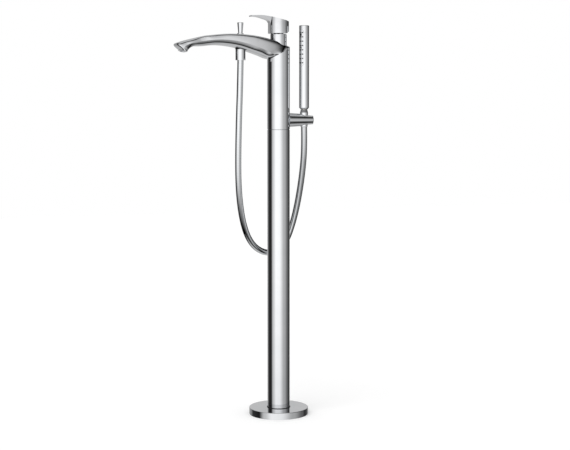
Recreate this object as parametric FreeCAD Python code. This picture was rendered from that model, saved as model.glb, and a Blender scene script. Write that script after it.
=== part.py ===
import FreeCAD, Part
import math
import os

# Floor-standing bath tap: a column on a floor rosette, an arching spout mitred to its top,
# a lever over the valve, a pull knob that sends water to the hose, and a stick handset.
# Millimetres. Origin: floor level on the column's axis. +Z up, spout along -X, holder along +X.

# general fits
fit_gap = 0.1
running_gap = 0.15
face_gap = 0.3
over = 2.0

# column
column_d = 54.0
column_wall = 3.0
seam_z = 688.0
upper_h = 181.0
seam_gap = 1.6
seam_depth = 1.4
coupling_wall = 2.4
coupling_reach = 15.0

# floor rosette, base plate and foot
rosette_d = 143.0
rosette_h = 16.0
rosette_wall = 2.5
rosette_edge_r = 1.0
seal_width = 1.2
seal_h = 1.0
base_plate_gap = 6.0
base_plate_h = 8.0
bolt_edge = 15.0
bolt_hole_d = 9.0
bolt_count = 4
foot_h = 52.0
foot_lip = 1.2
inlet_d = 18.6
inlet_depth = 15.0
set_screw_d = 5.0
set_screw_length = 7.0

# supply pipes
pipe_d = 12.0
pipe_wall = 1.0
pipe_clear = 3.5
pipe_seat = 10.0
waterway_d = 8.0
spacer_z = 344.0
spacer_h = 8.0

# mitre between column and spout: a sloping plane, high at the back
mitre_slope = 0.56

# spout side view: a ridge and a belly, each with a crest, then the lip that turns down
spout_wall = 3.0
ridge_crest_x = -113.0
ridge_rise = 42.4
ridge_fall_r = 420.0
belly_crest_x = -150.0
belly_rise = 15.6
belly_root_slope = 0.36
belly_fall_r = 390.0
# below its widest level a section tucks in at a tilt, in degrees from upright, and then turns under
belly_square = 4.0
belly_tilt = 14.0
# the edge of the belly meets the mitre this many degrees below the widest point of the column's outline
root_split = 30.0
# each section: X of its top, X of its low point, how much narrower than the column's radius,
# how square its shoulders are, its widest level as a share of its height,
# and how far its sides lean in towards the top
spout_rows = [
    (10, -34, 0.1, 3.6, 0.27, 0.14),
    (-8, -42, 0.3, 5.5, 0.30, 0.12),
    (-42, -63, 0.9, 7.0, 0.35, 0.03),
    (-76, -87, 2.0, 8.0, 0.40, 0.0),
    (-108, -112, 3.2, 8.0, 0.45, 0.0),
    (-142, -143, 4.2, 8.0, 0.48, 0.0),
    (-174, -173, 4.6, 8.0, 0.48, 0.0),
    (-202, -198, 4.2, 6.5, 0.46, 0.0),
]
# the lip: front and rear point of each section measured from the tip of the nose
nose_x = -252.0
nose_rise = 16.6
lip_narrower = 3.0
lip_square = 4.2
lip_rows = [
    ((31.0, 11.6), (44.0, -4.4), 0.44),
    ((16.0, 7.6), (36.5, -6.6), 0.43),
    ((5.0, 3.8), (32.0, -9.6), 0.42),
    ((-0.4, 0.4), (29.0, -12.4), 0.42),
    ((2.6, -5.0), (26.6, -15.4), 0.44),
    ((10.5, -13.2), (24.0, -18.2), 0.48),
]
lip_cavity_rows = 3
outlet_slot = 8.0
outlet_slot_width = 38.0
outlet_back_x = 17.5
outlet_recess = 12.6
outlet_insert_h = 6.0
outlet_jet_d = 1.8
outlet_jet_count = 7

# valve: manifold, neck sleeve and ceramic cartridge
manifold_drop = 29.0
manifold_h = 44.0
neck_step = 7.5
neck_wall = 1.7
neck_rise = 45.0
neck_chamfer = 1.6
cartridge_seal_h = 1.5
cartridge_base_h = 23.5
cartridge_wall = 1.1
cartridge_lip_h = 2.0
cartridge_mouth_step = 3.1
port_d = 7.0
port_edge = 6.5
disc_h = 4.0
disc_gap = 1.1
disc_travel_room = 5.5
driver_h = 8.0
driver_pocket_depth = 6.0
cartridge_nut_h = 7.0
pivot_pin_d = 3.0
pivot_pin_gap = 2.6
spindle_size = 8.0
spindle_arm = 16.0
pivot_headroom = 5.5
spindle_rise = 26.0
lever_lift_angle = 20.0

# lever: a round cap with a thin blade that reaches forward
cap_wall = 3.7
cap_gap = 0.8
cap_cavity_gap = 1.8
cap_cavity_h = 12.2
cap_front_h = 41.7
cap_rear_h = 27.4
cap_relief_x = 14.0
cap_relief_h = 6.7
blade_width = 20.0
blade_tip_x = -70.0
blade_tip_drop = 0.7
blade_tip_h = 2.6
blade_root_h = 27.2
blade_root_depth = 8.0
lever_screw_d = 4.0
lever_screw_length = 8.0
lever_screw_h = 19.2
lever_plug_d = 6.4
lever_plug_length = 3.0

# diverter on top of the spout and hose outlet below it
diverter_x = -94.5
knob_rise = 27.3
knob_high_d = 14.6
knob_low_d = 10.4
knob_edge_r = 0.9
knob_gap = 0.6
gland_d = 15.0
gland_show = 2.6
gland_shank_d = 11.0
gland_depth = 11.4
rod_d = 5.0
rod_seat = 12.0
valve_plug_d = 14.0
valve_plug_h = 4.0
outlet_seat_rise = 0.5
outlet_shank_d = 16.0
outlet_bore_d = 9.0
outlet_collar_d = 23.6
outlet_collar_drop = 15.7
outlet_fairing_d = 31.0
hose_nut_wall = 1.8
hose_nut_h = 18.0
hose_nut_floor = 3.0
washer_h = 2.0

# handset holder
holder_rise = 22.8
holder_root_d = 34.0
holder_end_d = 26.0
holder_end_x = 85.6
holder_end_r = 3.0
handset_x = 64.8
liner_wall = 1.4
liner_clear_low = 1.0
liner_clear_high = 3.0
cone_high_d = 19.6
cone_low_d = 17.0
hose_slot = 16.2
stud_d = 6.0
stud_tip_x = 42.0
stud_head_d = 10.0
stud_head_h = 4.0

# handset and its cone nut
handset_d = 24.0
handset_h = 199.5
handset_wall = 2.0
handset_edge_r = 1.2
handset_taper_h = 4.0
handset_taper_d = 16.0
spray_turn = 33.0
spray_drop = 10.0
spray_h = 86.0
spray_width = 13.0
spray_proud = 0.25
nozzle_rows = 8
nozzle_pitch = 10.2
nozzle_d = 3.0
nozzle_proud = 0.7
nozzle_fan = 20.0
nipple_d = 12.0
nipple_bore_d = 7.0
cone_washer_h = 2.0
nipple_plug_h = 12.0
cone_nut_top_d = 16.0
cone_nut_drop = 16.0
cone_nut_h = 41.0
cone_taper_h = 33.5
cone_nut_floor = 20.0

# hose: route points from the outlet nut, down, round behind the column, up to the cone nut
hose_d = 15.0
hose_route = [
    (-94.5, 0, 850.9),
    (-95.5, 0.5, 796),
    (-98, 3, 712.5),
    (-98.5, 8, 630),
    (-96.5, 14, 563.5),
    (-90.5, 21, 511),
    (-80, 29, 467),
    (-64.5, 37, 432.5),
    (-44.5, 43.5, 407),
    (-19.5, 48, 392.5),
    (7.5, 49.5, 392.5),
    (32, 48.5, 409),
    (45.5, 44.5, 439),
    (55, 38, 476.5),
    (62, 29, 524),
    (67, 17, 583.5),
    (68, 6, 642),
    (64.8, 0, 694.8),
]

# values that follow from the sizes above
mitre_z = seam_z + upper_h
ridge_crest_z = mitre_z + ridge_rise
belly_crest_z = mitre_z + belly_rise
nose_z = mitre_z + nose_rise
manifold_high_z = mitre_z - manifold_drop
manifold_low_z = manifold_high_z - manifold_h
neck_high_z = mitre_z + neck_rise
column_r = column_d / 2
bore_r = column_r - column_wall
pipe_y = bore_r - fit_gap - coupling_wall - pipe_clear - pipe_d / 2
base_plate_d = rosette_d - 2 * (rosette_wall + base_plate_gap)
bolt_circle_d = base_plate_d - 2 * bolt_edge
neck_d = column_d - 2 * neck_step
neck_r = neck_d / 2
neck_bore_r = neck_r - neck_wall
cap_cavity_d = neck_d + 2 * cap_cavity_gap
cap_d = cap_cavity_d + 2 * cap_wall
cap_r = cap_d / 2
cap_low_z = neck_high_z + cap_gap
cap_cavity_high_z = cap_low_z + cap_cavity_h
cap_front_z = cap_low_z + cap_front_h
cap_rear_z = cap_low_z + cap_rear_h
cap_relief_z = cap_low_z + cap_relief_h
blade_tip_high_z = cap_front_z - blade_tip_drop
blade_root_z = cap_low_z + blade_root_h
lever_screw_z = cap_low_z + lever_screw_h
spindle_high_z = neck_high_z + spindle_rise
rosette_r = rosette_d / 2
seam_low_z = seam_z - seam_gap / 2
seam_high_z = seam_z + seam_gap / 2
cartridge_r = neck_bore_r - fit_gap
cartridge_base_low_z = manifold_high_z + cartridge_seal_h
fixed_disc_low_z = cartridge_base_low_z + cartridge_base_h
moving_disc_low_z = fixed_disc_low_z + disc_h + running_gap / 2
driver_low_z = moving_disc_low_z + disc_h
driver_high_z = driver_low_z + driver_h
cartridge_bore_r = cartridge_r - cartridge_wall
cartridge_mouth_d = 2 * (cartridge_bore_r - cartridge_mouth_step)
fixed_disc_d = 2 * (cartridge_bore_r - disc_gap)
moving_disc_d = fixed_disc_d - 2 * disc_travel_room
port_circle_d = fixed_disc_d - 2 * port_edge
pivot_pin_length = 2 * (cartridge_bore_r - pivot_pin_gap)
ball_z = driver_high_z - driver_pocket_depth + spindle_size / 2 + face_gap
pivot_z = ball_z + spindle_arm
cartridge_lip_z = pivot_z + pivot_pin_d / 2 + pivot_headroom
knob_high_z = ridge_crest_z + knob_rise
gland_low_z = ridge_crest_z - gland_depth
outlet_seat_z = belly_crest_z + outlet_seat_rise
outlet_collar_low_z = belly_crest_z - outlet_collar_drop
hose_nut_d = outlet_collar_d
thread_d = hose_nut_d - 2 * hose_nut_wall
hose_nut_low_z = outlet_collar_low_z - hose_nut_h
holder_z = seam_z + holder_rise
cone_nut_low_z = holder_z - cone_nut_drop
cone_shoulder_z = cone_nut_low_z + cone_taper_h
cone_nut_floor_z = cone_nut_low_z + cone_nut_floor
nipple_low_z = cone_nut_floor_z + cone_washer_h
handset_low_z = cone_nut_low_z + cone_nut_h
handset_high_z = handset_low_z + handset_h
spray_high_z = handset_high_z - spray_drop
spray_low_z = spray_high_z - spray_h


def vec(x, y, z):
    return FreeCAD.Vector(x, y, z)


def cylinder(diameter, z_low, z_high, x=0.0, y=0.0):
    return Part.makeCylinder(diameter / 2, z_high - z_low, vec(x, y, z_low))


def cone(d_low, d_high, z_low, z_high, x=0.0, y=0.0):
    return Part.makeCone(d_low / 2, d_high / 2, z_high - z_low, vec(x, y, z_low))


def ring(d_out, d_in, z_low, z_high, x=0.0, y=0.0):
    hole = cylinder(d_in, z_low - over, z_high + over, x, y)
    return cylinder(d_out, z_low, z_high, x, y).cut(hole)


def rod_along_x(diameter, x_low, x_high, y, z):
    return Part.makeCylinder(diameter / 2, x_high - x_low, vec(x_low, y, z), vec(1, 0, 0))


def block(x_low, x_high, y_low, y_high, z_low, z_high):
    return Part.makeBox(x_high - x_low, y_high - y_low, z_high - z_low, vec(x_low, y_low, z_low))


def prism_y(outline, y_low, y_high):
    # side-view outline, given as one closed wire in the plane Y = 0, pushed along Y
    face = Part.Face(outline)
    face.translate(vec(0, y_low, 0))
    return face.extrude(vec(0, y_high - y_low, 0))


def polygon_y(points, y_low, y_high):
    corners = [vec(x, 0, z) for x, z in points]
    return prism_y(Part.makePolygon(corners + corners[:1]), y_low, y_high)


def rim_edges(shape, z, radius):
    found = []
    for edge in shape.Edges:
        curve = edge.Curve
        if isinstance(curve, Part.Circle) and abs(curve.Radius - radius) < 0.01:
            if abs(curve.Center.z - z) < 0.01:
                found.append(edge)
    return found


# base: rosette, seal, base plate, foot, set screws


def floor_rosette():
    body = cylinder(rosette_d, 0, rosette_h)
    body = body.makeFillet(rosette_edge_r, rim_edges(body, rosette_h, rosette_r))
    hollow = cylinder(rosette_d - 2 * rosette_wall, -over, rosette_h - rosette_wall)
    hole = cylinder(column_d + 2 * fit_gap, 0, rosette_h + over)
    return body.cut(hollow).cut(hole)


def rosette_seal():
    d_in = column_d + 2 * fit_gap
    return ring(d_in + 2 * seal_width, d_in, rosette_h, rosette_h + seal_h)


def base_plate():
    spigot_d = 2 * (bore_r - foot_lip)
    plate = ring(base_plate_d, spigot_d + 2 * fit_gap, 0, base_plate_h)
    for i in range(bolt_count):
        angle = math.radians(45 + 360 * i / bolt_count)
        x = bolt_circle_d / 2 * math.cos(angle)
        y = bolt_circle_d / 2 * math.sin(angle)
        plate = plate.cut(cylinder(bolt_hole_d, -over, base_plate_h + over, x, y))
    return plate


def set_screw_z():
    return (base_plate_h + rosette_h - rosette_wall) / 2


def set_screw_cut(diameter, inner_x):
    right = rod_along_x(diameter, inner_x, column_r + over, 0, set_screw_z())
    left = rod_along_x(diameter, -column_r - over, -inner_x, 0, set_screw_z())
    return right.fuse(left)


def column_foot():
    spigot_d = 2 * (bore_r - foot_lip)
    foot = cylinder(spigot_d, 0, base_plate_h + over)
    foot = foot.fuse(cylinder(2 * (bore_r - fit_gap), base_plate_h, foot_h))
    for side in (-1, 1):
        y = side * pipe_y
        foot = foot.cut(cylinder(inlet_d, -over, inlet_depth, 0, y))
        foot = foot.cut(cylinder(waterway_d, 0, foot_h, 0, y))
        foot = foot.cut(cylinder(pipe_d + 2 * fit_gap, foot_h - pipe_seat, foot_h + over, 0, y))
    inner_x = column_r - set_screw_length - fit_gap
    return foot.cut(set_screw_cut(set_screw_d + 2 * fit_gap, inner_x))


def foot_set_screws():
    low = column_r - set_screw_length
    right = rod_along_x(set_screw_d, low, column_r - fit_gap, 0, set_screw_z())
    left = rod_along_x(set_screw_d, -column_r + fit_gap, -low, 0, set_screw_z())
    return Part.makeCompound([right, left])


# column: lower tube, seam ring, coupling, pipes, upper body


def column_tube():
    tube = ring(column_d, 2 * bore_r, base_plate_h, seam_low_z)
    return tube.cut(set_screw_cut(set_screw_d + 2 * fit_gap, bore_r - over))


def seam_ring():
    return ring(column_d - 2 * seam_depth, 2 * bore_r, seam_low_z, seam_high_z)


def coupling_sleeve():
    outer_d = 2 * (bore_r - fit_gap)
    low = seam_z - 2 * coupling_reach
    return ring(outer_d, outer_d - 2 * coupling_wall, low, seam_z + coupling_reach - over)


def supply_pipe(side):
    low = foot_h - pipe_seat
    high = manifold_low_z + pipe_seat
    return ring(pipe_d, pipe_d - 2 * pipe_wall, low, high, 0, side * pipe_y)


def pipe_spacer():
    disc = cylinder(2 * (bore_r - fit_gap), spacer_z, spacer_z + spacer_h)
    for side in (-1, 1):
        y = side * pipe_y
        disc = disc.cut(cylinder(pipe_d + 2 * fit_gap, spacer_z - over, spacer_z + spacer_h + over, 0, y))
    return disc


def mitre_height(x):
    return mitre_z + mitre_slope * x


def above_mitre():
    reach = 2 * column_r
    high = mitre_height(reach) + 4 * column_d
    corners = [(-reach, mitre_height(-reach)), (reach, mitre_height(reach)), (reach, high), (-reach, high)]
    return polygon_y(corners, -reach, reach)


def upper_body():
    tube = ring(column_d, 2 * bore_r, seam_high_z, mitre_height(column_r) + over)
    tube = tube.cut(above_mitre())
    return tube.cut(rod_along_x(stud_d + 2 * fit_gap, 0, column_d, 0, holder_z))


# spout: superellipse sections strung between the ridge arc and the belly arc


def crest_fall(x, crest_x, radius):
    # how far a circle has dropped from its crest
    return radius - math.sqrt(radius ** 2 - (x - crest_x) ** 2)


def ridge_height(x):
    # one circle from the corner of the mitre up to the crest, a flatter one ahead of it
    run = column_r - ridge_crest_x
    drop = ridge_crest_z - mitre_height(column_r)
    radius = (run ** 2 + drop ** 2) / (2 * drop)
    if x < ridge_crest_x:
        radius = ridge_fall_r
    return ridge_crest_z - crest_fall(x, ridge_crest_x, radius)


def belly_height(x):
    # leaves the mitre at a set slope, levels out at the crest, then bends down to the lip
    if x < belly_crest_x:
        return belly_crest_z - crest_fall(x, belly_crest_x, belly_fall_r)
    root_z = mitre_height(-column_r)
    run = -column_r - belly_crest_x
    share = (-column_r - x) / run
    climb = (belly_crest_z - root_z) * share ** 2 * (3 - 2 * share)
    return root_z + climb + belly_root_slope * run * share * (1 - share) ** 2


def quarter_curve(middle, side, end, power, lean):
    # one quarter of a superellipse, from the end of its side axis to the end of its upright axis
    steps = 30
    points = []
    for i in range(steps + 1):
        angle = math.pi / 2 * i / steps
        c = max(math.cos(angle), 0.0)
        s = math.sin(angle)
        reach = (c ** power + s ** power) ** (-1 / power)
        points.append(middle + side * (c * reach * (1 - lean * s * reach)) + end * (s * reach))
    curve = Part.BSplineCurve()
    even = [i / steps for i in range(steps + 1)]
    start = end - side * lean
    curve.interpolate(Points=points, Parameters=even, InitialTangent=start, FinalTangent=side * (lean - 1))
    return curve.toShape()


def section(top, low, half_width, square, level, lean, belly, tilt, inset=0.0):
    # closed curve with square shoulders above its widest level and a rounder belly below it
    top = vec(top[0], 0, top[1])
    low = vec(low[0], 0, low[1])
    height = (top - low).Length
    upright = (top - low) * (1 / height)
    middle = low + upright * (height * level)
    rise = upright * (height * (1 - level) - inset)
    fall = upright * -(height * level - inset)
    wide = vec(0, half_width - inset, 0)
    tuck = math.tan(math.radians(tilt)) * fall.Length / wide.Length
    return Part.Wire([
        quarter_curve(middle, wide, rise, square, lean),
        quarter_curve(middle, wide * -1, rise, square, lean),
        quarter_curve(middle, wide * -1, fall, belly, tuck),
        quarter_curve(middle, wide, fall, belly, tuck),
    ])


def root_curve(middle, side, end, last):
    # a stretch of the column's outline in the mitre plane, from the belly's edge to its top or low point
    steps = 30
    points = []
    for i in range(steps + 1):
        angle = math.radians(-root_split + (last + root_split) * i / steps)
        points.append(middle + side * math.cos(angle) + end * math.sin(angle))
    curve = Part.BSplineCurve()
    curve.interpolate(Points=points, Parameters=[i / steps for i in range(steps + 1)])
    return curve.toShape()


def root_section(inset):
    middle = vec(0, 0, mitre_height(0))
    rise = vec(column_r, 0, mitre_height(column_r)) - middle
    rise = rise * (1 - inset / rise.Length)
    wide = vec(0, column_r - inset, 0)
    return Part.Wire([
        root_curve(middle, wide, rise, 90),
        root_curve(middle, wide * -1, rise, 90),
        root_curve(middle, wide * -1, rise, -90),
        root_curve(middle, wide, rise, -90),
    ])


def spout_stations():
    rows = []
    for top_x, low_x, narrower, square, level, lean in spout_rows:
        top = (top_x, ridge_height(top_x))
        low = (low_x, belly_height(low_x))
        rows.append((top, low, column_r - narrower, square, level, lean, belly_square, belly_tilt))
    return rows


def lip_stations():
    # the end turns down: the sections swing from upright to level
    rows = []
    for front, rear, level in lip_rows:
        top = (nose_x + front[0], nose_z + front[1])
        low = (nose_x + rear[0], nose_z + rear[1])
        rows.append((top, low, column_r - lip_narrower, lip_square, level, 0.0, belly_square, belly_tilt))
    return rows


def spout_skin(inset):
    # the outside of the whole spout, drawn in by an inset
    rows = spout_stations() + lip_stations()
    wires = [root_section(inset)] + [section(*row, inset=inset) for row in rows]
    return Part.makeLoft(wires, True, False)


def spout_shell():
    cavity_rows = spout_stations() + lip_stations()[:lip_cavity_rows]
    wires = [section(*row, inset=spout_wall) for row in cavity_rows]
    start = root_section(spout_wall)
    start.translate(vec(spout_wall * mitre_slope, 0, -spout_wall))
    shell = spout_skin(0.0).cut(Part.makeLoft([start] + wires, True, False))
    shell = shell.cut(cylinder(neck_d + 2 * fit_gap, mitre_z, neck_high_z))
    shell = shell.cut(cylinder(gland_shank_d + 2 * fit_gap, belly_crest_z, knob_high_z, diverter_x))
    shell = shell.cut(cylinder(outlet_shank_d + 2 * fit_gap, hose_nut_low_z, belly_crest_z, diverter_x))
    return shell.cut(outlet_slit(0.0, nose_z - column_r, nose_z - spout_wall / 2))


def outlet_slit(gap, z_low, z_high):
    middle = nose_x + outlet_back_x
    half = outlet_slot / 2 - gap
    side = outlet_slot_width / 2 - gap
    return block(middle - half, middle + half, -side, side, z_low, z_high)


def outlet_insert():
    low = nose_z - outlet_recess
    high = low + outlet_insert_h
    insert = outlet_slit(fit_gap, low, high)
    pitch = outlet_slot_width / (outlet_jet_count + 1)
    for i in range(outlet_jet_count):
        y = pitch * (i - (outlet_jet_count - 1) / 2)
        insert = insert.cut(cylinder(outlet_jet_d, low - over, high + over, nose_x + outlet_back_x, y))
    return insert


# valve: manifold, neck, cartridge, spindle


def port_holes(z_low, z_high):
    holes = []
    for angle in (90, 180, 270):
        x = port_circle_d / 2 * math.cos(math.radians(angle))
        y = port_circle_d / 2 * math.sin(math.radians(angle))
        holes.append(cylinder(port_d, z_low - over, z_high + over, x, y))
    return Part.makeCompound(holes)


def manifold():
    body = cylinder(2 * (bore_r - fit_gap), manifold_low_z, manifold_high_z)
    for side in (-1, 1):
        socket_high = manifold_low_z + pipe_seat
        y = side * pipe_y
        body = body.cut(cylinder(pipe_d + 2 * fit_gap, manifold_low_z - over, socket_high, 0, y))
        feed = cylinder(port_d, manifold_low_z, manifold_high_z + over, 0, side * port_circle_d / 2)
        body = body.cut(feed)
    mid_z = (manifold_low_z + manifold_high_z) / 2
    mixed = cylinder(port_d, mid_z, manifold_high_z + over, -port_circle_d / 2)
    mixed = mixed.fuse(rod_along_x(port_d, -column_r, -port_circle_d / 2, 0, mid_z))
    groove = cylinder(port_d, mid_z, manifold_high_z + over, -bore_r)
    return body.cut(mixed).cut(groove)


def neck_sleeve():
    sleeve = cylinder(neck_d, manifold_high_z, neck_high_z)
    sleeve = sleeve.makeChamfer(neck_chamfer, rim_edges(sleeve, neck_high_z, neck_r))
    return sleeve.cut(cylinder(2 * neck_bore_r, manifold_high_z - over, neck_high_z + over))


def cartridge_seal():
    seal = cylinder(2 * cartridge_r, manifold_high_z, cartridge_base_low_z)
    return seal.cut(port_holes(manifold_high_z, cartridge_base_low_z))


def cartridge_base():
    base = cylinder(2 * cartridge_r, cartridge_base_low_z, fixed_disc_low_z)
    return base.cut(port_holes(cartridge_base_low_z, fixed_disc_low_z))


def fixed_disc():
    disc = cylinder(fixed_disc_d, fixed_disc_low_z, fixed_disc_low_z + disc_h)
    return disc.cut(port_holes(fixed_disc_low_z, fixed_disc_low_z + disc_h))


def cartridge_shell():
    wall = ring(2 * cartridge_r, 2 * cartridge_bore_r, fixed_disc_low_z, cartridge_lip_z)
    lip = ring(2 * cartridge_r, cartridge_mouth_d, cartridge_lip_z, cartridge_lip_z + cartridge_lip_h)
    return wall.fuse(lip)


def cartridge_nut():
    low = cartridge_lip_z + cartridge_lip_h
    return ring(2 * cartridge_r, cartridge_mouth_d, low, low + cartridge_nut_h)


def moving_disc():
    return cylinder(moving_disc_d, moving_disc_low_z, moving_disc_low_z + disc_h)


def disc_driver():
    driver = cylinder(moving_disc_d - 1, driver_low_z, driver_high_z)
    pocket_d = spindle_size + 2 * (face_gap + running_gap)
    return driver.cut(cylinder(pocket_d, driver_high_z - driver_pocket_depth, driver_high_z + over))


def turning_guide():
    low = driver_high_z + face_gap
    high = cartridge_lip_z - running_gap
    guide = cylinder(2 * (cartridge_bore_r - fit_gap), low, high)
    swing = math.tan(math.radians(lever_lift_angle))
    half = spindle_size / 2 + face_gap
    back = -half - (pivot_z - low) * swing
    front = half + (high - pivot_z) * swing
    side = spindle_size / 2 + running_gap
    guide = guide.cut(block(back - 1, front + 1, -side, side, low - over, high + over))
    return guide.cut(pivot_pin_shape(pivot_pin_d + 2 * fit_gap, cartridge_bore_r * 2))


def pivot_pin_shape(diameter, length):
    return Part.makeCylinder(diameter / 2, length, vec(0, -length / 2, pivot_z), vec(0, 1, 0))


def pivot_pin():
    return pivot_pin_shape(pivot_pin_d, pivot_pin_length)


def lever_spindle():
    half = spindle_size / 2
    stem = block(-half, half, -half, half, ball_z, spindle_high_z)
    neck_cut = ring(3 * spindle_size, spindle_size * 0.7, ball_z - over, ball_z + half)
    stem = stem.cut(neck_cut)
    stem = stem.fuse(Part.makeSphere(half, vec(0, 0, ball_z)))
    return stem.cut(pivot_pin_shape(pivot_pin_d + 2 * fit_gap, 2 * spindle_size))


# lever


def smooth_curve(points):
    curve = Part.BSplineCurve()
    curve.interpolate([vec(x, 0, z) for x, z in points])
    return curve.toShape()


def line(start, end):
    return Part.LineSegment(vec(start[0], 0, start[1]), vec(end[0], 0, end[1])).toShape()


def lever_top_points():
    # seen from the side: level over the blade, then a long fall to the rear of the cap
    reach = blade_tip_x + cap_r
    fall = cap_front_z - cap_rear_z
    return [
        (blade_tip_x, blade_tip_high_z),
        (-cap_r + reach * 0.66, cap_front_z - fall * 0.01),
        (-cap_r + reach * 0.36, cap_front_z),
        (-cap_r + reach * 0.16, cap_front_z - fall * 0.06),
        (-cap_r * 0.92, cap_front_z - fall * 0.17),
        (-cap_r * 0.5, cap_front_z - fall * 0.40),
        (-cap_r * 0.15, cap_front_z - fall * 0.56),
        (cap_r * 0.3, cap_front_z - fall * 0.73),
        (cap_r * 0.62, cap_front_z - fall * 0.85),
        (cap_r, cap_rear_z),
        (cap_r + 2 * over, cap_rear_z - fall * 0.06),
    ]


def under_top(half_width, low_z):
    # everything below the lever's top line, down to a level floor
    top = lever_top_points()
    rear = (top[-1][0], low_z)
    front = (top[0][0], low_z)
    edges = [smooth_curve(top), line(top[-1], rear), line(rear, front), line(front, top[0])]
    return prism_y(Part.Wire(edges), -half_width, half_width)


def blade_shape():
    tip_low = (blade_tip_x, blade_tip_high_z - blade_tip_h)
    rise = blade_tip_high_z - blade_root_z
    front_x = -math.sqrt(cap_r ** 2 - (blade_width / 2) ** 2)
    root = (front_x, blade_root_z - blade_root_depth)
    inside = (0, root[1])
    roof = (0, cap_front_z + over)
    corner = (blade_tip_x, cap_front_z + over)
    under = [
        tip_low,
        (blade_tip_x * 0.64 + front_x * 0.36, blade_tip_high_z - rise * 0.23),
        (blade_tip_x * 0.32 + front_x * 0.68, blade_tip_high_z - rise * 0.51),
        (blade_tip_x * 0.07 + front_x * 0.93, blade_tip_high_z - rise * 0.88),
        root,
    ]
    edges = [smooth_curve(under)]
    for start, end in ((root, inside), (inside, roof), (roof, corner), (corner, tip_low)):
        edges.append(line(start, end))
    half = blade_width / 2
    return prism_y(Part.Wire(edges), -half, half).common(under_top(cap_r, cap_low_z - over))


def cap_shape():
    cap = cylinder(cap_d, cap_low_z, cap_front_z + over).common(under_top(cap_r + over, cap_low_z - over))
    front_x = -math.sqrt(cap_r ** 2 - (blade_width / 2) ** 2)
    cap = cap.cut(block(-cap_d, front_x, -cap_d, cap_d, cap_low_z - over, cap_front_z + over))
    relief = [
        (cap_relief_x, cap_low_z),
        (cap_r + over, cap_relief_z + over * (cap_relief_z - cap_low_z) / (cap_r - cap_relief_x)),
        (cap_r + over, cap_low_z - over),
        (cap_relief_x, cap_low_z - over),
    ]
    return cap.cut(polygon_y(relief, -cap_d, cap_d))


def lever_handle():
    lever = cap_shape().fuse(blade_shape()).removeSplitter()
    lever = lever.cut(cylinder(cap_cavity_d, cap_low_z - over, cap_cavity_high_z))
    half = spindle_size / 2 + fit_gap
    lever = lever.cut(block(-half, half, -half, half, cap_low_z, spindle_high_z + fit_gap))
    lever = lever.cut(rod_along_x(lever_screw_d + 2 * fit_gap, 0, cap_r, 0, lever_screw_z))
    plug_low = cap_r - lever_plug_length
    return lever.cut(rod_along_x(lever_plug_d + 2 * fit_gap, plug_low, cap_r + over, 0, lever_screw_z))


def lever_screw():
    low = spindle_size / 2
    return rod_along_x(lever_screw_d, low, low + lever_screw_length, 0, lever_screw_z)


def lever_plug():
    low = cap_r - lever_plug_length
    plug = rod_along_x(lever_plug_d, low, cap_r + over, 0, lever_screw_z)
    return plug.common(cylinder(cap_d, cap_low_z, cap_front_z))


# diverter and hose outlet


def diverter_gland():
    top = ridge_height(diverter_x) + gland_show
    collar = cylinder(gland_d, gland_low_z, top, diverter_x)
    collar = collar.cut(spout_skin(-fit_gap))
    gland = collar.fuse(cylinder(gland_shank_d, gland_low_z, top, diverter_x))
    return gland.cut(cylinder(rod_d + 2 * running_gap, gland_low_z - over, top + over, diverter_x))


def knob_low():
    return ridge_height(diverter_x) + gland_show + knob_gap


def diverter_knob():
    knob = cone(knob_low_d, knob_high_d, knob_low(), knob_high_z, diverter_x)
    knob = knob.makeFillet(knob_edge_r, rim_edges(knob, knob_high_z, knob_high_d / 2))
    return knob.cut(cylinder(rod_d + 2 * fit_gap, knob_low() - over, knob_low() + rod_seat, diverter_x))


def diverter_rod():
    low = outlet_seat_z + face_gap + valve_plug_h / 2
    return cylinder(rod_d, low, knob_low() + rod_seat - fit_gap, diverter_x)


def diverter_plug():
    low = outlet_seat_z + face_gap
    plug = cylinder(valve_plug_d, low, low + valve_plug_h, diverter_x)
    return plug.cut(cylinder(rod_d, low + valve_plug_h / 2, low + valve_plug_h + over, diverter_x))


def outlet_nipple():
    low = hose_nut_low_z + hose_nut_floor + washer_h
    fairing_high = belly_height(diverter_x - outlet_fairing_d / 2) + spout_wall
    collar = cylinder(outlet_collar_d, outlet_collar_low_z, fairing_high, diverter_x)
    mid = (outlet_collar_low_z + fairing_high) / 2
    fairing = cone(outlet_collar_d, outlet_fairing_d, mid, fairing_high, diverter_x)
    nipple = collar.fuse(fairing).cut(spout_skin(-fit_gap))
    nipple = nipple.fuse(cylinder(outlet_shank_d, outlet_collar_low_z, outlet_seat_z, diverter_x))
    nipple = nipple.fuse(cylinder(thread_d, low, outlet_collar_low_z, diverter_x))
    return nipple.cut(cylinder(outlet_bore_d, low - over, outlet_seat_z + over, diverter_x))


def hose_nut():
    high = outlet_collar_low_z - face_gap
    nut = cylinder(hose_nut_d, hose_nut_low_z, high, diverter_x)
    thread = cylinder(thread_d + 2 * fit_gap, hose_nut_low_z + hose_nut_floor, high + over, diverter_x)
    return nut.cut(thread).cut(cylinder(outlet_bore_d, hose_nut_low_z - over, high, diverter_x))


def hose_washer():
    low = hose_nut_low_z + hose_nut_floor
    return ring(thread_d - 1, outlet_bore_d, low, low + washer_h, diverter_x)


# hose


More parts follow.
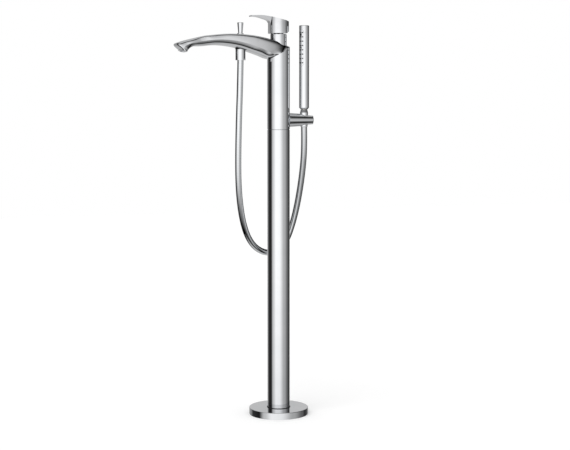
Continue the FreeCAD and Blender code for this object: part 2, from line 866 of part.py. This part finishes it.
def rounded_path(points):
    # straight runs joined by tangent arcs, each as large as its two runs allow
    corners = [vec(*p) for p in points]
    radii = []
    edges = []
    start = corners[0]
    for i in range(1, len(corners) - 1):
        back = corners[i - 1] - corners[i]
        ahead = corners[i + 1] - corners[i]
        trim = 0.45 * min(back.Length, ahead.Length)
        turn = math.pi - back.getAngle(ahead)
        radii.append(trim / math.tan(turn / 2))
        arc_in = corners[i] + back * (trim / back.Length)
        arc_out = corners[i] + ahead * (trim / ahead.Length)
        inward = (arc_in + arc_out) * 0.5 - corners[i]
        depth = radii[-1] * (1 / math.cos(turn / 2) - 1)
        arc_mid = corners[i] + inward * (depth / inward.Length)
        edges.append(Part.LineSegment(start, arc_in).toShape())
        edges.append(Part.Arc(arc_in, arc_mid, arc_out).toShape())
        start = arc_out
    edges.append(Part.LineSegment(start, corners[-1]).toShape())
    return Part.Wire(edges), radii


def shower_hose():
    path, radii = rounded_path(hose_route)
    first = vec(*hose_route[1]) - vec(*hose_route[0])
    ring_edge = Part.Circle(vec(*hose_route[0]), first, hose_d / 2).toShape()
    hose = path.makePipeShell([Part.Wire(ring_edge)], True, False)
    for x, y, z in (hose_route[0], hose_route[-1]):
        hose = hose.cut(block(x - hose_d, x + hose_d, y - hose_d, y + hose_d, z, z + hose_d))
    print("hose radii", [round(r) for r in radii], "length", round(path.Length))
    tube_volume = math.pi * hose_d ** 2 / 4 * path.Length
    print("hose volume", round(hose.Volume), "section x length", round(tube_volume))
    return hose


# holder


def holder_cone():
    return Part.makeCone(
        holder_root_d / 2, holder_end_d / 2, holder_end_x - column_r + column_wall,
        vec(column_r - column_wall, 0, holder_z), vec(1, 0, 0),
    )


def hose_way(half_width):
    # the gap at the outer end through which the hose slips in and out
    low = holder_z - holder_root_d
    high = holder_z + holder_root_d
    return block(handset_x, holder_end_x + over, -half_width, half_width, low, high)


def liner_d():
    return cone_high_d + 2 * (face_gap + liner_wall)


def holder_arm():
    arm = holder_cone()
    circles = [e for e in arm.Edges if isinstance(e.Curve, Part.Circle)]
    arm = arm.makeFillet(holder_end_r, [e for e in circles if e.Curve.Center.x > handset_x])
    low = holder_z - holder_root_d
    high = holder_z + holder_root_d
    arm = arm.cut(cylinder(column_d, low, high))
    arm = arm.cut(cylinder(liner_d() + 2 * fit_gap, low, high, handset_x))
    arm = arm.cut(hose_way(hose_slot / 2))
    return arm.cut(rod_along_x(stud_d + 2 * fit_gap, 0, stud_tip_x + fit_gap, 0, holder_z))


def cone_gap_shape(low, high, gap):
    # the taper that the cone nut sits in, opened by a gap
    return cone(cone_low_d + 2 * gap, cone_high_d + 2 * gap, low, high, handset_x)


def liner_low():
    return cone_nut_low_z + liner_clear_low


def liner_high():
    return cone_shoulder_z - liner_clear_high


def holder_liner():
    liner = cylinder(liner_d(), liner_low(), liner_high(), handset_x)
    liner = liner.common(holder_cone())
    liner = liner.cut(cone_gap_shape(cone_nut_low_z, cone_shoulder_z, face_gap))
    return liner.cut(hose_way(hose_slot / 2))


def holder_stud():
    head_x = math.sqrt(bore_r ** 2 - (stud_head_d / 2) ** 2) - fit_gap
    head = rod_along_x(stud_head_d, head_x - stud_head_h, head_x, 0, holder_z)
    return head.fuse(rod_along_x(stud_d, head_x, stud_tip_x, 0, holder_z))


# cone nut and handset


def cone_nut():
    taper = cone(cone_low_d, cone_high_d, cone_nut_low_z, cone_shoulder_z, handset_x)
    top = cone(cone_high_d, cone_nut_top_d, cone_shoulder_z, handset_low_z - face_gap, handset_x)
    nut = taper.fuse(top)
    nut = nut.cut(cylinder(nipple_d + 2 * running_gap, cone_nut_floor_z, handset_low_z, handset_x))
    return nut.cut(cylinder(nipple_bore_d, cone_nut_low_z - over, handset_low_z, handset_x))


def cone_washer():
    return ring(nipple_d - 0.5, nipple_bore_d, cone_nut_floor_z, nipple_low_z - running_gap, handset_x)


def spray_window(gap):
    # upright slot through the wall on the spray side, rounded at both ends
    half = spray_width / 2 + gap
    depth = handset_d
    slot = block(0, depth, -half, half, spray_low_z + half - gap, spray_high_z - half + gap)
    for z in (spray_low_z + half - gap, spray_high_z - half + gap):
        slot = slot.fuse(rod_along_x(2 * half, 0, depth, 0, z))
    slot.rotate(vec(0, 0, 0), vec(0, 0, 1), 180 + spray_turn)
    slot.translate(vec(handset_x, 0, 0))
    return slot


def handset_body():
    barrel_low = handset_low_z + handset_taper_h
    body = cylinder(handset_d, barrel_low, handset_high_z, handset_x)
    body = body.makeFillet(handset_edge_r, rim_edges(body, handset_high_z, handset_d / 2))
    body = body.fuse(cone(handset_taper_d, handset_d, handset_low_z, barrel_low, handset_x))
    bore = cylinder(handset_d - 2 * handset_wall, barrel_low, handset_high_z - handset_wall, handset_x)
    body = body.cut(bore)
    body = body.cut(cylinder(nipple_d + 2 * fit_gap, handset_low_z - over, barrel_low + over, handset_x))
    return body.cut(spray_window(fit_gap))


def spray_plate():
    d_out = handset_d + 2 * spray_proud
    wall = ring(d_out, handset_d - 2 * handset_wall, spray_low_z, spray_high_z, handset_x)
    plate = wall.common(spray_window(0.0))
    for hole in nozzle_pins(nozzle_d + 2 * fit_gap, handset_d):
        plate = plate.cut(hole)
    return plate


def nozzle_pins(diameter, reach):
    pins = []
    middle = (spray_low_z + spray_high_z) / 2
    inner = handset_d / 2 - handset_wall
    for row in range(nozzle_rows):
        z = middle + nozzle_pitch * (row - (nozzle_rows - 1) / 2)
        for turn in (-nozzle_fan, 0, nozzle_fan):
            angle = math.radians(180 + spray_turn + turn)
            out = vec(math.cos(angle), math.sin(angle), 0)
            start = vec(handset_x, 0, z) + out * inner
            pins.append(Part.makeCylinder(diameter / 2, reach - inner, start, out))
    return pins


def spray_nozzles():
    return Part.makeCompound(nozzle_pins(nozzle_d, handset_d / 2 + nozzle_proud))


def handset_nipple():
    plug_low = handset_low_z + handset_taper_h
    plug_high = plug_low + nipple_plug_h
    plug_d = handset_d - 2 * handset_wall - 2 * fit_gap
    nipple = cylinder(plug_d, plug_low, plug_high, handset_x)
    nipple = nipple.fuse(cylinder(nipple_d, nipple_low_z, plug_low, handset_x))
    return nipple.cut(cylinder(nipple_bore_d, nipple_low_z - over, plug_high + over, handset_x))


pieces = {
    "floor_rosette": floor_rosette,
    "rosette_seal": rosette_seal,
    "base_plate": base_plate,
    "column_foot": column_foot,
    "foot_set_screws": foot_set_screws,
    "column_tube": column_tube,
    "seam_ring": seam_ring,
    "coupling_sleeve": coupling_sleeve,
    "hot_supply_pipe": lambda: supply_pipe(1),
    "cold_supply_pipe": lambda: supply_pipe(-1),
    "pipe_spacer": pipe_spacer,
    "upper_body": upper_body,
    "spout_shell": spout_shell,
    "outlet_insert": outlet_insert,
    "manifold": manifold,
    "neck_sleeve": neck_sleeve,
    "cartridge_seal": cartridge_seal,
    "cartridge_base": cartridge_base,
    "fixed_disc": fixed_disc,
    "cartridge_shell": cartridge_shell,
    "cartridge_nut": cartridge_nut,
    "moving_disc": moving_disc,
    "disc_driver": disc_driver,
    "turning_guide": turning_guide,
    "pivot_pin": pivot_pin,
    "lever_spindle": lever_spindle,
    "lever_handle": lever_handle,
    "lever_screw": lever_screw,
    "lever_plug": lever_plug,
    "diverter_gland": diverter_gland,
    "diverter_knob": diverter_knob,
    "diverter_rod": diverter_rod,
    "diverter_plug": diverter_plug,
    "outlet_nipple": outlet_nipple,
    "hose_nut": hose_nut,
    "hose_washer": hose_washer,
    "shower_hose": shower_hose,
    "holder_arm": holder_arm,
    "holder_liner": holder_liner,
    "holder_stud": holder_stud,
    "cone_nut": cone_nut,
    "cone_washer": cone_washer,
    "handset_body": handset_body,
    "spray_plate": spray_plate,
    "spray_nozzles": spray_nozzles,
    "handset_nipple": handset_nipple,
}

os.makedirs("parts", exist_ok=True)
for name, build in pieces.items():
    shape = build()
    shape.exportStep("parts/" + name + ".step")
    print(name, "solids", len(shape.Solids), "valid", shape.isValid(), "volume", round(shape.Volume))
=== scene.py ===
import math

import bpy
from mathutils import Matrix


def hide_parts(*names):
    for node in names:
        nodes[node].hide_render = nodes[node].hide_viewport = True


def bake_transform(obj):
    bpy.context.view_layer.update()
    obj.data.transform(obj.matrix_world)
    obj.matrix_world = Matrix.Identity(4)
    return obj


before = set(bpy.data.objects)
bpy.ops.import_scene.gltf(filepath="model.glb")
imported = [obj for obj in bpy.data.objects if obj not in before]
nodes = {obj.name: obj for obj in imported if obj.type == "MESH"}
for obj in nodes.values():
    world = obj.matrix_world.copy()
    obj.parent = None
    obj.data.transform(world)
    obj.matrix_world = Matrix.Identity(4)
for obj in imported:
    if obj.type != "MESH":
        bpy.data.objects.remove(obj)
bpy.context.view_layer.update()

bpy.ops.object.select_all(action="DESELECT")
bpy.context.scene.view_settings.view_transform = "Standard"
print("frame loaded:", len(nodes), "CAD nodes")


# camera: at three quarters of the tap's height, a little left of the spout's side, long lens
cameraSet = {
    "place": (-0.9767, -2.8366, 0.7246),
    "tiltDown": 5.054,
    "heading": -19.296,
    "lens": 79.162,
    "sensor": 36.0,
}


def addCamera():
    cameraData = bpy.data.cameras.new("photoCamera")
    cameraData.lens = cameraSet["lens"]
    cameraData.sensor_width = cameraSet["sensor"]
    cameraData.sensor_fit = "HORIZONTAL"
    camera = bpy.data.objects.new("photoCamera", cameraData)
    bpy.context.scene.collection.objects.link(camera)
    camera.location = cameraSet["place"]
    pitch = math.radians(90.0 - cameraSet["tiltDown"])
    camera.rotation_euler = (pitch, 0.0, math.radians(cameraSet["heading"]))
    bpy.context.scene.camera = camera


addCamera()
print("camera set")


# helpers for every shader: a hex colour made linear, a node with values and links, a ramp, a math node
def hexColour(text):
    parts = [int(text[i:i + 2], 16) / 255.0 for i in (1, 3, 5)]
    linear = [c / 12.92 if c <= 0.04045 else ((c + 0.055) / 1.055) ** 2.4 for c in parts]
    return (*linear, 1.0)


def addNode(tree, kind, values=None, links=None, **settings):
    node = tree.nodes.new(kind)
    for name, value in settings.items():
        setattr(node, name, value)
    for key, value in (values or {}).items():
        node.inputs[key].default_value = value
    for key, source in (links or {}).items():
        tree.links.new(source, node.inputs[key])
    return node


def addRamp(tree, source, stops):
    node = addNode(tree, "ShaderNodeValToRGB", {}, {"Fac": source})
    ramp = node.color_ramp
    ramp.elements[0].position = stops[0][0]
    ramp.elements[1].position = stops[-1][0]
    for place, _ in stops[1:-1]:
        ramp.elements.new(place)
    for element, (place, level) in zip(ramp.elements, stops):
        element.position = place
        element.color = level if isinstance(level, tuple) else (level, level, level, 1.0)
    return node


def joinMath(tree, operation, first, second):
    node = addNode(tree, "ShaderNodeMath", {}, {0: first, 1: second}, operation=operation)
    return node.outputs[0]


# studio: white surround with a big soft box in front and dark cards at both sides,
# which is what draws the black and white stripes down polished chrome
studioSet = {
    "facing": (-0.3256, -0.9455, 0.0),  # from the tap towards the camera
    "right": (0.9455, -0.3256, 0.0),
    # brightness by degrees round from the camera's side, to its right and left
    "around": [(-180, 0.46), (-140, 0.28), (-118, 0.03), (-82, 0.015), (-56, 0.60), (-25, 0.97), (5, 0.95),
               (60, 0.41), (105, 0.12), (125, 0.03), (150, 0.10), (166, 0.30), (180, 0.46)],
    # what is left of it by the sine of the height, below and above level
    "height": [(-0.72, 0.0), (-0.64, 0.04), (-0.47, 0.23), (-0.25, 0.80), (-0.1, 1.0), (0.062, 1.0),
               (0.07, 0.86), (0.08, 0.80), (0.25, 0.70), (0.47, 0.22), (0.64, 0.04), (0.72, 0.0)],
    # by degrees round again: behind the tap the height makes no difference
    "behind": [(-180, 1.0), (-160, 1.0), (-125, 0.0), (125, 0.0), (160, 1.0), (180, 1.0)],
    "ceiling": [(0.75, 0.0), (0.9, 0.38), (1.0, 0.48)],
    "cards": 1.16,
    "fill": 0.75,
    "paper": "#ffffff",
}


def addStudio():
    world = bpy.data.worlds.new("whiteStudio")
    bpy.context.scene.world = world
    world.use_nodes = True
    tree = world.node_tree
    tree.nodes.clear()
    where = addNode(tree, "ShaderNodeTexCoord").outputs["Generated"]
    ahead, aside = [
        addNode(tree, "ShaderNodeVectorMath", {1: studioSet[way]}, {0: where}, operation="DOT_PRODUCT")
        for way in ("facing", "right")
    ]
    turn = joinMath(tree, "ARCTAN2", aside.outputs["Value"], ahead.outputs["Value"])
    level = addNode(tree, "ShaderNodeSeparateXYZ", {}, {0: where}).outputs["Z"]
    steepness = addNode(tree, "ShaderNodeMath", {}, {0: level}, operation="ABSOLUTE")
    # ramps run from 0 to 1, so degrees and sines are turned into shares
    turnShare = addNode(tree, "ShaderNodeMapRange", {"From Min": -math.pi, "From Max": math.pi},
                        {"Value": turn})
    levelShare = addNode(tree, "ShaderNodeMapRange", {"From Min": -1.0, "From Max": 1.0}, {"Value": level})
    around, behind = [
        addRamp(tree, turnShare.outputs[0], [((angle + 180) / 360, share) for angle, share in stops])
        for stops in (studioSet["around"], studioSet["behind"])
    ]
    around.color_ramp.interpolation = "EASE"
    heightStops = [((sine + 1) / 2, share) for sine, share in studioSet["height"]]
    band = addRamp(tree, levelShare.outputs[0], heightStops)
    ceiling = addRamp(tree, steepness.outputs[0], studioSet["ceiling"])
    reach = joinMath(tree, "MAXIMUM", band.outputs[0], behind.outputs[0])
    box = joinMath(tree, "MULTIPLY", around.outputs[0], reach)
    cards = joinMath(tree, "MAXIMUM", box, ceiling.outputs[0])
    # mirrors see the cards, matt surfaces an even fill, the camera plain white
    rays = addNode(tree, "ShaderNodeLightPath")
    mirrored = joinMath(tree, "MAXIMUM", rays.outputs["Is Glossy Ray"], rays.outputs["Is Transmission Ray"])
    paper = hexColour(studioSet["paper"])
    fill = addNode(tree, "ShaderNodeBackground", {"Color": paper, "Strength": studioSet["fill"]})
    cardLight = addNode(tree, "ShaderNodeBackground", {"Strength": studioSet["cards"]}, {"Color": cards})
    white = addNode(tree, "ShaderNodeBackground", {"Color": paper, "Strength": 1.0})
    lit = addNode(tree, "ShaderNodeMixShader", {},
                  {0: mirrored, 1: fill.outputs[0], 2: cardLight.outputs[0]})
    seen = addNode(tree, "ShaderNodeMixShader", {},
                   {0: rays.outputs["Is Camera Ray"], 1: lit.outputs[0], 2: white.outputs[0]})
    addNode(tree, "ShaderNodeOutputWorld", {}, {"Surface": seen.outputs[0]})


# one broad soft lamp from above the camera's left shoulder, for the contact shadow
lampSet = {"strength": 0.9, "softness": 45.0, "lean": (38.0, 0.0, -52.0)}


def addLamp():
    lampData = bpy.data.lights.new("broadLamp", "SUN")
    lampData.energy = lampSet["strength"]
    lampData.angle = math.radians(lampSet["softness"])
    lamp = bpy.data.objects.new("broadLamp", lampData)
    bpy.context.scene.collection.objects.link(lamp)
    lamp.rotation_euler = [math.radians(a) for a in lampSet["lean"]]
    lamp.visible_glossy = False


# white floor: what the lamp leaves short of white is made up for the camera alone, shadow kept
floorSet = {"size": 12.0, "colour": "#f4f4f4", "lift": 0.16}


def addFloor():
    bpy.ops.mesh.primitive_plane_add(size=floorSet["size"])
    floor = bpy.context.active_object
    floor.name = "studioFloor"
    paint = bpy.data.materials.new("matt white floor paint")
    paint.use_nodes = True
    tree = paint.node_tree
    tree.nodes.clear()
    rays = addNode(tree, "ShaderNodeLightPath")
    matt = addNode(tree, "ShaderNodeBsdfDiffuse", {"Color": hexColour(floorSet["colour"])})
    lift = addNode(tree, "ShaderNodeMath", {1: floorSet["lift"]}, {0: rays.outputs["Is Camera Ray"]},
                   operation="MULTIPLY")
    glow = addNode(tree, "ShaderNodeEmission", {}, {"Strength": lift.outputs[0]})
    both = addNode(tree, "ShaderNodeAddShader", {}, {0: matt.outputs[0], 1: glow.outputs[0]})
    addNode(tree, "ShaderNodeOutputMaterial", {}, {"Surface": both.outputs[0]})
    floor.data.materials.append(paint)
    floor.visible_glossy = False


addStudio()
addLamp()
addFloor()
print("studio, lamp and floor set")


# materials on Object coordinates, which are metres: a noise of s mm has features about s mm across
def startMaterial(name):
    material = bpy.data.materials.new(name)
    material.use_nodes = True
    tree = material.node_tree
    tree.nodes.clear()
    return material, tree


def objectPlace(tree, drawnOut=None):
    place = addNode(tree, "ShaderNodeTexCoord").outputs["Object"]
    if drawnOut is None:
        return place
    return addNode(tree, "ShaderNodeMapping", {"Scale": drawnOut}, {"Vector": place}).outputs[0]


def addNoise(tree, place, sizeMm, detail, roughness=0.5):
    values = {"Scale": 1000.0 / sizeMm, "Detail": detail, "Roughness": roughness}
    return addNode(tree, "ShaderNodeTexNoise", values, {"Vector": place}).outputs["Fac"]


noiseSpan = (0.3, 0.7)  # noise keeps mostly between these two levels


def addTint(tree, source, low, high, between=noiseSpan):
    stops = [(between[0], hexColour(low)), (between[1], hexColour(high))]
    return addRamp(tree, source, stops).outputs[0]


def addRough(tree, source, span, between=(0.0, 1.0)):
    values = {"From Min": between[0], "From Max": between[1], "To Min": span[0], "To Max": span[1]}
    return addNode(tree, "ShaderNodeMapRange", values, {"Value": source}).outputs[0]


def addBump(tree, source, strength, depth):
    values = {"Strength": strength, "Distance": depth}
    return addNode(tree, "ShaderNodeBump", values, {"Height": source}).outputs[0]


def finishMaterial(tree, values, tint, rough, bump=None):
    links = {"Base Color": tint, "Roughness": rough}
    if bump is not None:
        links["Normal"] = bump
    shader = addNode(tree, "ShaderNodeBsdfPrincipled", values, links)
    addNode(tree, "ShaderNodeOutputMaterial", {}, {"Surface": shader.outputs[0]})


# chromium over polished brass: a mirror, with the faint swell of the buffed metal under it and a wiped haze
chromeSet = {
    "pale": "#f5f6f8",
    "deep": "#eef0f2",
    "hazeMm": 60.0,
    "rough": (0.03, 0.06),
    "swellMm": 22.0,
    "swellStrength": 0.012,
    "swellDepth": 0.004,
}


def makeChrome():
    material, tree = startMaterial("chromium plate, buffed bright")
    place = objectPlace(tree)
    haze = addNoise(tree, place, chromeSet["hazeMm"], detail=4.0, roughness=0.55)
    tint = addTint(tree, haze, chromeSet["deep"], chromeSet["pale"])
    rough = addRough(tree, haze, chromeSet["rough"], between=noiseSpan)
    swell = addNoise(tree, place, chromeSet["swellMm"], detail=1.0)
    bump = addBump(tree, swell, chromeSet["swellStrength"], chromeSet["swellDepth"])
    finishMaterial(tree, {"Metallic": 1.0}, tint, rough, bump)
    return material


# satin chromium on the column's seam ring, which is chrome in the model: grey and soft beside the mirror, its
# darker grey a painted shade for the shadow in the seam gap, so the joint reads as a thin line
seamShadeSet = {"light": "#cfd2d5", "dark": "#c2c5c8", "grainMm": 0.4, "rough": (0.3, 0.42)}


def makeSeamShade():
    material, tree = startMaterial("chromium plate, satin, painted seam shade")
    grain = addNoise(tree, objectPlace(tree), seamShadeSet["grainMm"], detail=3.0)
    tint = addTint(tree, grain, seamShadeSet["dark"], seamShadeSet["light"])
    rough = addRough(tree, grain, seamShadeSet["rough"])
    finishMaterial(tree, {"Metallic": 1.0}, tint, rough)
    return material


# free-cutting brass off the lathe: warm yellow, slightly tarnished, with fine rings across the height
brassSet = {
    "light": "#cdb072",
    "dark": "#a88746",
    "tarnishMm": 14.3,
    "ringMm": 0.9,
    "ringWander": 0.6,
    "rough": (0.22, 0.38),
    "ringStrength": 0.12,
    "ringDepth": 0.0001,
}


def makeBrass():
    material, tree = startMaterial("brass, turned")
    place = objectPlace(tree)
    ringScale = 1000.0 / brassSet["ringMm"] / (2.0 * math.pi)
    values = {"Scale": ringScale, "Distortion": brassSet["ringWander"], "Detail": 2.0}
    rings = addNode(tree, "ShaderNodeTexWave", values, {"Vector": place}, bands_direction="Z").outputs["Fac"]
    tarnish = addNoise(tree, place, brassSet["tarnishMm"], detail=5.0)
    tint = addTint(tree, tarnish, brassSet["dark"], brassSet["light"])
    rough = addRough(tree, rings, brassSet["rough"])
    bump = addBump(tree, rings, brassSet["ringStrength"], brassSet["ringDepth"])
    finishMaterial(tree, {"Metallic": 1.0}, tint, rough, bump)
    return material


# stainless steel, brushed: grey with short fine scratches
steelSet = {
    "light": "#c3c6c9",
    "dark": "#9ea2a6",
    "scratchMm": 0.35,
    "drawnOut": (0.04, 1.0, 1.0),
    "rough": (0.24, 0.42),
    "scratchStrength": 0.1,
    "scratchDepth": 0.00005,
}


def makeSteel():
    material, tree = startMaterial("stainless steel, brushed")
    scratch = addNoise(tree, objectPlace(tree, steelSet["drawnOut"]), steelSet["scratchMm"], detail=3.0)
    tint = addTint(tree, scratch, steelSet["dark"], steelSet["light"])
    rough = addRough(tree, scratch, steelSet["rough"])
    bump = addBump(tree, scratch, steelSet["scratchStrength"], steelSet["scratchDepth"])
    finishMaterial(tree, {"Metallic": 1.0}, tint, rough, bump)
    return material


# drawn copper tube: pink metal with brown breath marks and long draw lines
copperSet = {
    "bright": "#c98d6b",
    "brown": "#8f5a3f",
    "markMm": 14.0,
    "markSpan": (0.32, 0.62),
    "lineMm": 0.625,
    "drawnOut": (1.0, 1.0, 0.02),
    "rough": (0.2, 0.4),
}


def makeCopper():
    material, tree = startMaterial("copper tube, drawn")
    marks = addNoise(tree, objectPlace(tree), copperSet["markMm"], detail=6.0)
    tint = addTint(tree, marks, copperSet["brown"], copperSet["bright"], between=copperSet["markSpan"])
    lines = addNoise(tree, objectPlace(tree, copperSet["drawnOut"]), copperSet["lineMm"], detail=2.0)
    rough = addRough(tree, lines, copperSet["rough"])
    finishMaterial(tree, {"Metallic": 1.0}, tint, rough)
    return material


# moulded nitrile rubber: near black, matt, a fine grain with a dusty bloom
rubberSet = {
    "black": "#1b1b1c",
    "bloom": "#2f3032",
    "bloomMm": 6.25,
    "bloomSpan": (0.35, 0.75),
    "grainMm": 0.5,
    "rough": (0.5, 0.72),
    "grainStrength": 0.2,
    "grainDepth": 0.0001,
    "ior": 1.52,
}


def makeRubber():
    material, tree = startMaterial("nitrile rubber, moulded")
    place = objectPlace(tree)
    bloom = addNoise(tree, place, rubberSet["bloomMm"], detail=5.0)
    tint = addTint(tree, bloom, rubberSet["black"], rubberSet["bloom"], between=rubberSet["bloomSpan"])
    grain = addNoise(tree, place, rubberSet["grainMm"], detail=2.0)
    rough = addRough(tree, grain, rubberSet["rough"])
    bump = addBump(tree, grain, rubberSet["grainStrength"], rubberSet["grainDepth"])
    finishMaterial(tree, {"IOR": rubberSet["ior"]}, tint, rough, bump)
    return material


# injection-moulded acetal: mid grey, satin, a slight orange-peel from the mould
plasticSet = {
    "light": "#a9abad",
    "dark": "#9a9c9f",
    "flowMm": 11.1,
    "peelMm": 0.8,
    "rough": (0.34, 0.48),
    "peelStrength": 0.12,
    "peelDepth": 0.0001,
    "ior": 1.48,
}


def makePlastic():
    material, tree = startMaterial("grey acetal, injection moulded")
    place = objectPlace(tree)
    flow = addNoise(tree, place, plasticSet["flowMm"], detail=3.0)
    tint = addTint(tree, flow, plasticSet["dark"], plasticSet["light"])
    peel = addNoise(tree, place, plasticSet["peelMm"], detail=1.0)
    rough = addRough(tree, peel, plasticSet["rough"])
    bump = addBump(tree, peel, plasticSet["peelStrength"], plasticSet["peelDepth"])
    finishMaterial(tree, {"IOR": plasticSet["ior"]}, tint, rough, bump)
    return material


# lapped alumina: cream white, dense, silky
ceramicSet = {"light": "#f2efe6", "dark": "#e4dfd2", "grainMm": 0.3, "rough": (0.12, 0.22), "ior": 1.76}


def makeCeramic():
    material, tree = startMaterial("alumina ceramic, lapped")
    grain = addNoise(tree, objectPlace(tree), ceramicSet["grainMm"], detail=3.0)
    tint = addTint(tree, grain, ceramicSet["dark"], ceramicSet["light"])
    rough = addRough(tree, grain, ceramicSet["rough"])
    finishMaterial(tree, {"IOR": ceramicSet["ior"]}, tint, rough)
    return material


finishOf = {
    "chrome": makeChrome(),
    "brass": makeBrass(),
    "steel": makeSteel(),
    "copper": makeCopper(),
    "rubber": makeRubber(),
    "plastic": makePlastic(),
    "ceramic": makeCeramic(),
}


def dressNodes():
    for node in nodes.values():
        for slot in node.material_slots:
            slotName = slot.material.name.split(".")[0]
            if slotName in finishOf:
                slot.material = finishOf[slotName]


dressNodes()
# the seam ring gets the darker satin chromium: painted shade for the shadow in the seam gap
nodes["seam_ring"].material_slots[0].material = makeSeamShade()
print("finishes given to the CAD nodes")


# silver PVC hose: metal foil wound under a clear smooth jacket, so it gleams a little softer than the chrome
hoseSet = {
    # from the outlet nut down, round behind the column and up to the cone nut
    "route": [(-0.0945, 0.0, 0.8509), (-0.0955, 0.0005, 0.796), (-0.098, 0.003, 0.7125),
              (-0.0985, 0.008, 0.63), (-0.0965, 0.014, 0.5635), (-0.0905, 0.021, 0.511),
              (-0.0805, 0.029, 0.465), (-0.066, 0.037, 0.4285), (-0.046, 0.0435, 0.4025),
              (-0.0195, 0.048, 0.388), (0.0065, 0.0495, 0.388), (0.031, 0.0485, 0.405),
              (0.0447, 0.0445, 0.437), (0.0547, 0.038, 0.4765), (0.062, 0.029, 0.524),
              (0.067, 0.017, 0.5835), (0.068, 0.006, 0.642), (0.0648, 0.0, 0.6948)],
    "diameter": 0.015,
    "stepsPerPoint": 12,
    "sides": 20,
    "smoothAngle": 50.0,
    "foilMm": 6.0,
    "lapShare": 0.1,
    "light": "#eff1f3",
    "dark": "#e4e7ea",
    "rough": (0.1, 0.06),
    "jacket": {"Coat Weight": 0.6, "Coat Roughness": 0.06},
}


def makeHoseFinish():
    material, tree = startMaterial("silver foil hose, clear PVC jacket")
    uv = addNode(tree, "ShaderNodeUVMap", uv_map="hoseWrap")
    split = addNode(tree, "ShaderNodeSeparateXYZ", {}, {0: uv.outputs[0]})
    # u runs once round the hose, v is the way along it in metres: their sum makes the foil's slant
    along = addNode(tree, "ShaderNodeMath", {1: 1000.0 / hoseSet["foilMm"]}, {0: split.outputs["Y"]},
                    operation="MULTIPLY")
    slant = joinMath(tree, "ADD", along.outputs[0], split.outputs["X"])
    strip = addNode(tree, "ShaderNodeMath", {}, {0: slant}, operation="FRACT")
    # dark where one strip laps over the next, at both its edges
    lapShare = hoseSet["lapShare"]
    lap = addRamp(tree, strip.outputs[0], [(0.0, 0.0), (lapShare, 1.0), (1.0 - lapShare, 1.0), (1.0, 0.0)])
    tint = addTint(tree, lap.outputs[0], hoseSet["dark"], hoseSet["light"], between=(0.0, 1.0))
    rough = addRough(tree, lap.outputs[0], hoseSet["rough"])
    finishMaterial(tree, {"Metallic": 1.0, **hoseSet["jacket"]}, tint, rough)
    return material


def makeHose():
    curve = bpy.data.curves.new("hoseLine", "CURVE")
    curve.dimensions = "3D"
    curve.resolution_u = hoseSet["stepsPerPoint"]
    spline = curve.splines.new("NURBS")
    spline.points.add(len(hoseSet["route"]) - 1)
    for point, place in zip(spline.points, hoseSet["route"]):
        point.co = (*place, 1.0)
    spline.order_u = 3
    spline.use_endpoint_u = True
    line = bpy.data.objects.new("hoseLine", curve)
    bpy.context.scene.collection.objects.link(line)
    bpy.context.view_layer.update()
    lineMesh = bpy.data.meshes.new_from_object(line)
    path = [v.co.copy() for v in lineMesh.vertices]
    bpy.data.meshes.remove(lineMesh)
    # the same line with a round section, made a mesh: a bevel has 4 sides and 2 more for each step
    curve.bevel_depth = hoseSet["diameter"] / 2
    curve.bevel_resolution = (hoseSet["sides"] - 4) // 2
    curve.use_fill_caps = True
    bpy.ops.object.select_all(action="DESELECT")
    line.select_set(True)
    bpy.context.view_layer.objects.active = line
    bpy.ops.object.convert(target="MESH")
    hose = bpy.context.active_object
    hose.name = "showerHose"
    return hose, path


def wrapHose(hose, path):
    steps = [0.0]
    for here, there in zip(path, path[1:]):
        steps.append(steps[-1] + (there - here).length)
    layer = hose.data.uv_layers.new(name="hoseWrap")
    sides = hoseSet["sides"]
    for face in hose.data.polygons:
        turns = [hose.data.loops[i].vertex_index % sides for i in face.loop_indices]
        wraps = max(turns) - min(turns) > sides / 2
        for loopIndex, turnIndex in zip(face.loop_indices, turns):
            ring = min(hose.data.loops[loopIndex].vertex_index // sides, len(path) - 1)
            u = turnIndex / sides + (1.0 if wraps and turnIndex < sides / 2 else 0.0)
            layer.data[loopIndex].uv = (u, steps[ring])
    return steps[-1]


hose, hosePath = makeHose()
hoseLength = wrapHose(hose, hosePath)
hose.data.materials.clear()
hose.data.materials.append(makeHoseFinish())
bpy.ops.object.shade_smooth_by_angle(angle=math.radians(hoseSet["smoothAngle"]))
# the column keeps a clean dark stripe, without the hose mirrored in it
hose.visible_glossy = False
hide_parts("shower_hose")
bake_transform(hose)
print("hose made:", len(hosePath), "points,", round(hoseLength, 4), "m")
